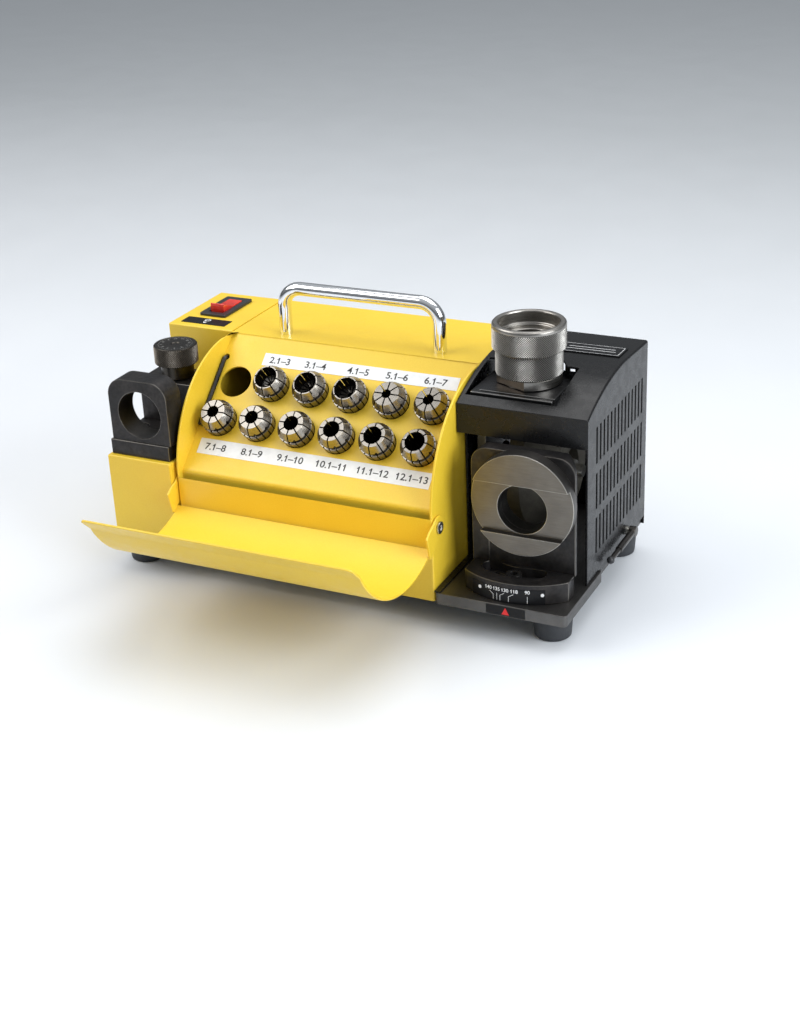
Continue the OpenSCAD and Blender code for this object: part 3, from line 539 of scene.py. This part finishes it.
def write(bm, text, height, place, wide=1.0, bold=0.0):
    """Sets text of a capital's height in millimetres on the placement's surface, centred. wide
    stretches it, and bold thickens its strokes by that many millimetres."""
    curve = bpy.data.curves.new("letters", "FONT")
    curve.align_y = "CENTER"
    curve.resolution_u = 4
    curve.size = height * MM / 0.7
    curve.extrude = INK * MM / 2
    curve.offset = bold * MM / 2
    letters = bpy.data.objects.new("letters", curve)
    bpy.context.scene.collection.objects.link(letters)

    def set_to(line):
        curve.body = line
        bpy.context.view_layer.update()
        made = bpy.data.meshes.new_from_object(letters.evaluated_get(
            bpy.context.evaluated_depsgraph_get()))
        return made, max(v.co.x for v in made.vertices) / MM

    stems = []
    for i, letter in enumerate(text):
        if letter == "1":
            part, edge = set_to(text[:i + 1])
            bpy.data.meshes.remove(part)
            stems.append(edge)
    mesh, right = set_to(text)
    middle = (right + min(v.co.x for v in mesh.vertices) / MM) / 2
    here = place @ Matrix.Diagonal((wide, 1, 1, 1)) @ Matrix.Translation((-middle * MM, 0, 0))
    mesh.transform(here @ Matrix.Translation((0, 0, INK * MM / 2)))
    bm.from_mesh(mesh)
    # the plain font's ones have no flag
    thick = height * 0.12 + bold / 2
    for edge in stems:
        flag = [(edge - thick * 0.7, height * 0.44), (edge - height * 0.3, height * 0.26)]
        stroke(bm, flag, thick, INK, here)
    bpy.data.objects.remove(letters)
    bpy.data.curves.remove(curve)
    bpy.data.meshes.remove(mesh)


# ---------------------------------------------------------------------------------------------
# Camera, floor and light
def camera():
    """The view: a little to the right of the front, from above."""
    yaw, pitch, roll = math.radians(26.69), math.radians(25.51), math.radians(-2.67)
    level = Vector((math.cos(yaw), math.sin(yaw), 0))
    forward = Vector((-math.sin(yaw), math.cos(yaw), 0))
    ahead = forward * math.cos(pitch) - Vector((0, 0, math.sin(pitch)))
    above = level.cross(ahead)
    right = level * math.cos(roll) + above * math.sin(roll)
    up = above * math.cos(roll) - level * math.sin(roll)
    data = bpy.data.cameras.new("camera")
    data.lens = 59.3
    data.sensor_width = 36
    data.clip_start = 0.05
    made = bpy.data.objects.new("camera", data)
    made.matrix_world = Matrix((right, up, -ahead)).transposed().to_4x4()
    made.location = at(632.07, -830.80, 504.08)
    bpy.context.scene.collection.objects.link(made)
    bpy.context.scene.camera = made


LIT = Vector((0, 0, 0.08))


def area_light(name, place, size, power, colour):
    """A rectangular light that looks at the middle of the machine."""
    data = bpy.data.lights.new(name, "AREA")
    data.shape = "RECTANGLE"
    data.size, data.size_y = size
    data.energy = power
    data.color = colour
    made = bpy.data.objects.new(name, data)
    made.location = place
    made.rotation_mode = "QUATERNION"
    made.rotation_quaternion = (LIT - Vector(place)).to_track_quat("-Z", "Y")
    bpy.context.scene.collection.objects.link(made)


def studio():
    """A white table under a soft overhead light, a window's light at the left and a pale wall's
    at the right."""
    bm = bmesh.new()
    bmesh.ops.create_grid(bm, x_segments=2, y_segments=2, size=6)
    mesh = bpy.data.meshes.new("floor")
    bm.to_mesh(mesh)
    bm.free()
    table = Look("table", (0.76, 0.785, 0.82), 0.5)
    table.tint(table.noise(300, 2), (0.74, 0.765, 0.80), 0.0, 0.5)
    # painted shade: the table darkens towards the back of the room, where less light reaches
    table.tint(table.split()["Y"], (0.60, 0.625, 0.645), 0.0, 1.0, 0.2, 1.3)
    table.polish(table.noise(60, 2), 0.46, 0.54)
    mesh.materials.append(table.material)
    floor = bpy.data.objects.new("floor", mesh)
    floor.location.z = cad_low.z - 0.0002
    bpy.context.scene.collection.objects.link(floor)
    world = bpy.data.worlds.new("studio")
    bpy.context.scene.world = world
    world.use_nodes = True
    nodes, links = world.node_tree.nodes, world.node_tree.links
    sky = nodes["Background"]
    sky.inputs["Strength"].default_value = 0.52
    rise = nodes.new("ShaderNodeSeparateXYZ")
    fade = nodes.new("ShaderNodeMapRange")
    fade.inputs["From Min"].default_value = 0.05
    fade.inputs["From Max"].default_value = 0.75
    blend = nodes.new("ShaderNodeMix")
    blend.data_type = "RGBA"
    blend.inputs["A"].default_value = (0.22, 0.235, 0.25, 1)
    blend.inputs["B"].default_value = (0.86, 0.9, 0.95, 1)
    links.new(nodes.new("ShaderNodeTexCoord").outputs["Generated"], rise.inputs["Vector"])
    links.new(rise.outputs["Z"], fade.inputs["Value"])
    links.new(fade.outputs["Result"], blend.inputs["Factor"])
    links.new(blend.outputs["Result"], sky.inputs["Color"])
    area_light("window", (-1.1, -0.5, 1.15), (1.3, 1.1), 14.5, (1.0, 0.985, 0.96))
    area_light("overhead", (0.15, 0.35, 1.5), (1.6, 1.2), 14.5, (1.0, 1.0, 1.0))
    area_light("right_wall", (1.45, -0.25, 0.75), (1.0, 1.0), 21, (0.93, 0.97, 1.0))
    bpy.context.scene.view_settings.view_transform = "Standard"


camera()
studio()

# ---------------------------------------------------------------------------------------------
# Painted covers
FOLD = 1.2
# the low box's width and height, and where the tall box behind it starts
LOW_BOX_W, LOW_BOX_H, TALL_BOX_Y = 48.9, 66.5, 86.3


def painted_covers():
    low, high = span("switch_housing")
    housing = [(0, low.x), (1, low.y), (1, high.y), (2, high.z)]
    housing += [(2, LOW_BOX_H), (1, TALL_BOX_Y), (0, LOW_BOX_W)]
    refined("switch_housing", [yellow_paint], 0.35, 2, [(on_two(housing), FOLD)])
    low, high = span("main_cover")
    rack_low, rack_high = span("collet_rack")
    cover = [(0, low.x), (0, high.x), (1, high.y), (1, low.y), (2, high.z), (1, rack_high.y)]
    refined("main_cover", [yellow_paint], 0.45, 3, [(on_two(cover), FOLD)])

    def border(a, b):
        """The rack's ends and top, which meet the cover."""
        ends = near(a, b, rack_low.x, 0) or near(a, b, rack_high.x, 0)
        return ends or near(a, b, rack_high.y, 1, 0.1)

    refined("collet_rack", [yellow_paint], 0.22, 2, skip=border)
    refined("tray_lid", [yellow_paint], 0.5, 3)


# the chamber cover's front bend, and a height that its back bend is above
FRONT_BEND_Z, BACK_BEND_ABOVE = 118.5, 125


def chamber():
    low, high = span("chamber_cover")
    crown_z = FRONT_BEND_Z - 0.2

    def folded(a, b):
        front = near(a, b, low.y, 1)
        back = near(a, b, high.y, 1)
        side_fold = near(a, b, high.x, 0) and (front or back or (a.z > crown_z and b.z > crown_z))
        front_bend = front and near(a, b, FRONT_BEND_Z, 2, 0.4)
        return side_fold or front_bend or (back and min(a.z, b.z) > BACK_BEND_ABOVE)

    refined("chamber_cover", [black_paint], 0.3, 2, [(folded, 1.6)])


painted_covers()
chamber()


# ---------------------------------------------------------------------------------------------
# Machined parts
BORE_R = 16.05
# the X and Z of the angle port's and the gauge's axis, which run along Y
PORT_AXIS = (284.8, 62.7)
GAUGE_AXIS = (26.6, 96.3)


def towards(axis, centre, normal):
    """True where a face looks in at a bore's axis."""
    inward = Vector((axis[0] - centre.x, 0, axis[1] - centre.z))
    return inward.length < BORE_R + 1 and normal.dot(inward.normalized()) > 0.7


def machined_parts():
    refined("base_plate", [base_steel], 0.5, 2)
    refined("feet", [rubber], 0.9, 3)

    def block_faces(centre, normal):
        return 2 if towards(PORT_AXIS, centre, normal) or towards(GAUGE_AXIS, centre, normal) else 0

    for node in ("gauge_base", "gauge_ring", "gauge_column", "swivel_block"):
        refined(node, [oxide_steel, edge_wear_and_highlight, dark_bore], 0.55, 2, edge_look=1, faces=block_faces)

    def port_faces(centre, normal):
        if towards(PORT_AXIS, centre, normal):
            return 3
        return 0 if abs(normal.y) > 0.9 else 2

    centre = (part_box("point_port")[0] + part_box("point_port")[1]) / 2
    place = axes(centre, (1, 0, 0), (0, 0, 1))
    refined("point_port", [port_steel, port_edge_wear_and_highlight, port_rim, dark_bore], 0.4, 2, edge_look=1,
            faces=port_faces, place=place)
    refined("seat_bracket", [seat_steel, seat_edge_highlight], 0.5, 2, edge_look=1)
    refined("motor_bulkhead", [seat_steel], 0.4, 1)
    for node in ("gauge_screws", "seat_screws", "swivel_clamp_screw"):
        refined(node, [black_screw], 0.25, 2)
    for node in ("lid_pivot_screws", "cover_screws", "inlet_screws", "handle_nuts", "foot_screws"):
        refined(node, [zinc], 0.3, 2)


machined_parts()


# ---------------------------------------------------------------------------------------------
# Switch and power inlet
PIN_Y = (141, 153.7)


def switch():
    refined("switch_frame", [black_plastic], 0.45, 3)
    refined("switch_rocker", [red_plastic], 0.6, 3)

    low, high = span("power_inlet")
    middle = (low + high) / 2

    def inlet_faces(centre, normal):
        """The three pins are zinc: their sides stand in the socket's middle, below its rim."""
        inside = abs(centre.x - middle.x) < 9 and abs(centre.z - middle.z) < 5
        return 1 if inside and PIN_Y[0] < centre.y < PIN_Y[1] and abs(normal.y) < 0.99 else 0

    refined("power_inlet", [black_plastic, zinc], 0.3, 2, faces=inlet_faces)


switch()


# ---------------------------------------------------------------------------------------------
# Collets
RACK_TILT = math.radians(42)
RACK_FOOT = (10, 62)
OUT = Vector((0, -math.sin(RACK_TILT), math.cos(RACK_TILT)))
UP_RACK = Vector((0, math.cos(RACK_TILT), math.sin(RACK_TILT)))
# the first column's X, the step between columns, and how far up the slope each row stands
COLUMN_X, COLUMN_STEP = 67.8, 29
UPPER_ROW, LOWER_ROW = 64.9, 35.7


def on_rack(x, s, out=0.0):
    """A placement on the rack's face, s millimetres up the slope from its lower bend."""
    return axes(at(x, *RACK_FOOT) + (UP_RACK * s + OUT * out) * MM, (1, 0, 0), UP_RACK)


def collets():
    for size in range(3, 14):
        upper = size < 8
        column = size - 2 if upper else size - 8
        place = on_rack(COLUMN_X + COLUMN_STEP * column, UPPER_ROW if upper else LOWER_ROW)

        def tone(centre, normal, place=place):
            """0 for the outside and the end, 1 for the ring groove, 2 for the bore and slits; 1 and 2
            are painted dark as shade.
            """
            local = place.inverted() @ at(*centre) / MM
            from_axis = math.hypot(local.x, local.y)
            if abs(normal.dot(OUT)) > 0.9 or from_axis < 0.5:
                return 0
            outward = (place.to_3x3() @ Vector((local.x, local.y, 0))).normalized()
            if normal.dot(outward) < 0.3:
                return 2
            return 1 if 6.5 < local.z < 8.9 and from_axis < 11.2 else 0

        refined(f"collet_{size}", [collet_steel, collet_groove_shade, collet_bore_shade], 0.13, 1, place=place,
                faces=tone)


collets()


# ---------------------------------------------------------------------------------------------
# Chuck
def flange(bm, outer, half, turned, low, high, place, inner):
    """A ring whose round outside has two flats, half from the axis, with small bevels. The flats
    have the look 2."""
    reach = math.degrees(math.acos(half / outer))
    steps = 36
    angles = []
    for start in (turned + reach, turned + 180 + reach):
        sweep = 180 - 2 * reach
        angles += [math.radians(start + sweep * i / steps) for i in range(steps + 1)]
    edge = 0.4

    def ring(radius, height):
        made = []
        for a in angles:
            point = Vector((radius * math.cos(a), radius * math.sin(a), height))
            made.append(bm.verts.new(place @ (point * MM)))
        return made

    rings = []
    for grow, height in ((-edge, low), (0, low + edge), (0, high - edge), (-edge, high)):
        rings.append(ring(outer + grow, height))
    rings += [ring(inner, high), ring(inner, low)]
    count = len(angles)
    for k, here in enumerate(rings):
        after = rings[(k + 1) % len(rings)]
        for i in range(count):
            j = (i + 1) % count
            face = bm.faces.new((here[i], here[j], after[j], after[i]))
            face.material_index = 2 if i % (steps + 1) == steps and k < 3 else 0


def chuck():
    low, high = span("chuck_nut")
    centre = (low + high) / 2
    height = high.z - low.z
    place = axes(at(centre.x, centre.y, low.z), (1, 0, 0), (0, 1, 0))
    outer = (high.x - low.x) / 2
    core = outer - NUT_DEPTH
    bm = bmesh.new()
    lathe(bm, [(core - 0.3, 0.0), (core, 0.3), (core, height - 3.0), (outer - 0.05, height - 2.8),
               (outer - 0.05, height - 1.9), (outer - 0.35, height - 0.9), (outer - 1.0, height - 0.25),
               (outer - 1.9, height), (20.3, height), (19.5, height - 0.3), (19.2, height - 0.9),
               (19.2, 9.2), (18.9, 8.8), (17.4, 8.6), (17.1, 8.2), (17.1, 0.3), (17.5, 0.0)],
          144, place)
    knurl(bm, outer, 0.3, height - 2.9, 104, NUT_DEPTH, place, 1)
    settle(bm, "chuck_nut_knurled", [nickel, nickel_knurl], ["chuck_nut"], place=place, sharp=26)

    low, high = span("chuck_body")
    nose = 17.0
    core = GRIP_R - NUT_DEPTH
    place = axes(at(centre.x, centre.y, low.z + nose), (1, 0, 0), (0, 1, 0))
    bm = bmesh.new()
    lathe(bm, [(12.4, -nose), (15.4, -nose), (16, -nose + 0.6), (16, 6.0), (core - 0.4, 6.0),
               (core, 6.4), (core, 21.5), (20.2, 22), (17.4, 22), (17, 22.3), (17, 28.6), (16.6, 29),
               (13.9, 29), (13.5, 28.6), (13.5, 14), (9, 14), (9, 6)], 144, place)
    knurl(bm, GRIP_R, 6.3, 21.6, 94, NUT_DEPTH, place, 1)
    flange(bm, 20.4, 16.5, 66, 0.1, 6.1, place, 15.9)
    settle(bm, "chuck_body_turned", [nickel, body_knurl, flat_steel], ["chuck_body"], place=place,
           sharp=26)


chuck()


# ---------------------------------------------------------------------------------------------
# Carrying handle, hex key and side lever
def arc(centre, first, last, radius, right, up, count):
    """Points along a round bend."""
    made = []
    for i in range(count + 1):
        a = math.radians(first + (last - first) * i / count)
        made.append(centre + (Vector(right) * math.cos(a) + Vector(up) * math.sin(a)) * radius * MM)
    return made


def handle():
    low, high = span("carry_handle")
    radius = (high.y - low.y) / 2
    left, right = low.x + radius, high.x - radius
    y = (low.y + high.y) / 2
    bend = 13.0
    bend_z = high.z - radius - bend
    path = [at(left, y, low.z), at(left, y, bend_z - 0.5)]
    path += arc(at(left + bend, y, bend_z), 180, 90, bend, (1, 0, 0), (0, 0, 1), 14)
    path += arc(at(right - bend, y, bend_z), 90, 0, bend, (1, 0, 0), (0, 0, 1), 14)
    path += [at(right, y, bend_z - 0.5), at(right, y, low.z)]
    bm = bmesh.new()
    tube(bm, path, radius, 40, (0, 1, 0))
    settle(bm, "carry_handle_rod", [chrome], ["carry_handle"], sharp=40)


def hex_key():
    """The key lies on the rack, with its short arm through it. Its ends are so far up the slope."""
    low, high = span("hex_key")
    x = (low.x + high.x) / 2
    radius = 1.5
    out = radius + 0.3
    elbow = 3.0
    bottom, top = 30, 82.0
    path = [on_rack(x, bottom, out).translation, on_rack(x, top - elbow - 0.2, out).translation]
    path += arc(on_rack(x, top - elbow, out - elbow).translation, 90, 0, elbow, UP_RACK, OUT, 10)
    path += [on_rack(x, top, out - elbow - down).translation for down in (0.2, 10)]
    bm = bmesh.new()
    tube(bm, path, radius, 6, (1, 0, 0), math.radians(30))
    settle(bm, "hex_key_bent", [black_screw], ["hex_key"], sharp=35)


# the side lever's ball is in front of this
BALL_BACK = 78.1


def lever():
    def ball(centre, normal):
        return 1 if centre.y < BALL_BACK else 0

    refined("clamp_lever", [dark_rod, black_plastic], 0.25, 2, faces=ball)
    refined("lever_bush", [zinc], 0.2, 1)


handle()
hex_key()
lever()


# ---------------------------------------------------------------------------------------------
# Gauge knob with its ring of numbers: the heights of its foot and of its disc's underside
KNOB_FOOT, KNOB_DISC = 106.3, 116


def gauge_knob():
    low, high = span("gauge_knob")
    centre = (low + high) / 2
    place = axes(at(centre.x, centre.y, KNOB_FOOT), (1, 0, 0), (0, 1, 0))
    height = high.z - KNOB_FOOT
    stem = low.z - KNOB_FOOT
    disc = KNOB_DISC - KNOB_FOOT
    outer = (high.x - low.x) / 2
    core = outer - KNOB_DEPTH
    bm = bmesh.new()
    lathe(bm, [(0, stem), (5.6, stem), (6, stem + 0.4), (6, 0), (10.6, 0), (11, 0.4), (11, disc - 0.2),
               (11.2, disc), (core - 0.3, disc), (core, disc + 0.3), (core, height - 0.5),
               (core - 0.3, height - 0.15), (core - 0.9, height), (12.2, height), (11.9, height - 0.2),
               (3.2, height - 0.2), (2.6, height - 0.8), (0, height - 0.8)], 120, place)
    knurl(bm, outer, disc + 0.2, height - 0.4, 74, KNOB_DEPTH, place, 1)
    settle(bm, "gauge_knob_turned", [oxide_turned, knob_knurl], ["gauge_knob"], place=place, sharp=26)
    bm = bmesh.new()
    top = place @ Matrix.Translation((0, 0, (height - 0.2) * MM))
    for i, number in enumerate(range(2, 14)):
        angle = -30 * i - 90
        turn = Matrix.Rotation(math.radians(angle), 4, "Z")
        write(bm, str(number), 1.7, top @ turn @ Matrix.Translation((0, 9.2 * MM, 0)))
        for k in range(3):
            tick = top @ Matrix.Rotation(math.radians(angle - 10 * k), 4, "Z")
            slab(bm, (-0.1, 0.1), (10.9, 11.6 if k else 11.8), INK, tick)
    settle(bm, "gauge_knob_numbers", [grey_ink], body="gauge_dial", place=place,
           flat=True)


gauge_knob()


# ---------------------------------------------------------------------------------------------
# Printed labels: how far the strips' paper stands off the rack, and the pointer's X
STRIP_TOP = 0.18
POINTER_X = 282.4


def labels():
    refined("size_strips", [label_white], 0)
    upper = {"2.1–3": 94.9, "3.1–4": 121.6, "4.1–5": 152.7, "5.1–6": 180.7, "6.1–7": 207.9}
    lower = {"7.1–8": 71, "8.1–9": 98.1, "9.1–10": 126.4, "10.1–11": 156.1, "11.1–12": 185.8,
             "12.1–13": 213}
    bm = bmesh.new()
    for row, up_slope in ((upper, 83.5), (lower, 16.2)):
        for text, x in row.items():
            write(bm, text, 4.6, on_rack(x, up_slope, STRIP_TOP), wide=1.08, bold=0.18)
    settle(bm, "size_numbers", [black_ink], body="machine", flat=True)

    refined("diameter_plate", [label_black], 0)
    low, high = span("diameter_plate")
    plate = axes(at((low.x + high.x) / 2, (low.y + high.y) / 2, high.z), (1, 0, 0), (0, 1, 0))
    bm = bmesh.new()
    write(bm, "Ø", 4.2, plate @ Matrix.Translation((0, 1.7 * MM, 0)))
    arrow = [bm.verts.new(plate @ (Vector(p) * MM)) for p in
             ((-1.6, -1.6, INK), (0, -4.0, INK), (1.6, -1.6, INK))]
    bm.faces.new(arrow)
    settle(bm, "diameter_mark", [white_ink], body="machine", flat=True)

    refined("pointer_plate", [label_black], 0)
    low, high = span("pointer_plate")
    front = axes(at(POINTER_X, low.y, (low.z + high.z) / 2), (1, 0, 0), (0, 0, 1))
    bm = bmesh.new()
    tip = [bm.verts.new(front @ (Vector(p) * MM)) for p in
           ((-2.5, -2.3, INK), (2.5, -2.3, INK), (0, 2.5, INK))]
    bm.faces.new(tip)
    settle(bm, "pointer_mark", [red_ink], body="machine", flat=True)


# the block's swivel axis, the outside radius of the scale plate with its ink, and the angle, from
# straight ahead, of the mark that the pointer shows at rest
SWIVEL_AXIS = Vector((280, 58, 0))
SCALE_R = 52.95
REST_MARK = 3.1


def angle_scale():
    """White numbers and leader lines on the block's curved plate. The block turns by half of a
    change in the point angle, and the pointer stands at 118 degrees at rest."""
    refined("angle_scale", [label_black], 0)
    refined("scale_rivets", [white_ink], 0.15, 2)
    low = span("angle_scale")[0]

    def on_scale(angle, z):
        a = math.radians(angle)
        out = Vector((math.sin(a), -math.cos(a), 0))
        point = SWIVEL_AXIS + out * SCALE_R
        return axes(at(point.x, point.y, z), (math.cos(a), math.sin(a), 0), (0, 0, 1))

    def leader(bm, points):
        for (a, za), (b, zb) in zip(points, points[1:]):
            steps = 4 if a != b else 1
            for i in range(steps):
                p = a + (b - a) * i / steps
                q = a + (b - a) * (i + 1) / steps
                zp = za + (zb - za) * i / steps
                zq = za + (zb - za) * (i + 1) / steps
                here = on_scale((p + q) / 2, (zp + zq) / 2)
                half = math.radians(q - p) * SCALE_R / 2
                stroke(bm, [(-half, (zp - zq) / 2), (half, (zq - zp) / 2)], 0.26, INK, here)

    bm = bmesh.new()
    foot, knee, head = low.z + 1.0, low.z + 4.4, low.z + 6.2
    for value, shown in ((140, -11.3), (135, -5.2), (130, 0.9), (118, 7.3), (90, 15.9)):
        mark = REST_MARK + (118 - value) / 2
        write(bm, str(value), 2.3, on_scale(shown, low.z + 8.3), bold=0.1)
        if value in (135, 90):
            leader(bm, [(shown, foot), (shown, head - 0.8)])
        else:
            leader(bm, [(mark, foot), (mark, knee), (shown + (0.8 if shown < mark else -0.8), head)])
    settle(bm, "angle_numbers", [white_ink], body="angle_block", flat=True)


def chamber_label():
    """A black label with a thin border and two blank rules on the chamber cover's sloping top."""
    bm = bmesh.new()
    place = axes(at(293.3, 122.5, 132.72), (1, 0.02, 0), (-0.02, 1, -0.0535))
    thick = 0.25
    slab(bm, (-21.5, 21.5), (-9.5, 9.5), thick, place)
    top = place @ Matrix.Translation((0, 0, thick * MM))
    stroke(bm, [(-20, -8), (20, -8), (20, 8), (-20, 8), (-20, -8)], 0.28, INK, top, 1)
    for y, half in ((2.2, 15), (-2.2, 16.5)):
        stroke(bm, [(-half, y), (half, y)], 0.5, INK, top, 1)
    settle(bm, "chamber_label", [label_black, white_ink], body="machine", flat=True)


labels()
angle_scale()
chamber_label()


# ---------------------------------------------------------------------------------------------
# Pieces inside, which keep their CAD shape
INSIDE = {
    "motor_case": motor_enamel,
    "motor_end_bells": cast_alloy,
    "motor_magnets": ferrite,
    "motor_bearings": zinc,
    "motor_rotor": windings,
    "motor_shaft": zinc,
    "cooling_fan": black_plastic,
    "grinding_wheel": grit,
    "wheel_nut": zinc,
    "speed_board": board,
    "gauge_cam": collet_steel,
    "swivel_pin": zinc,
}
for node, look in INSIDE.items():
    mesh = frame["nodes"][node].data
    mesh.materials.clear()
    mesh.materials.append(look.material)
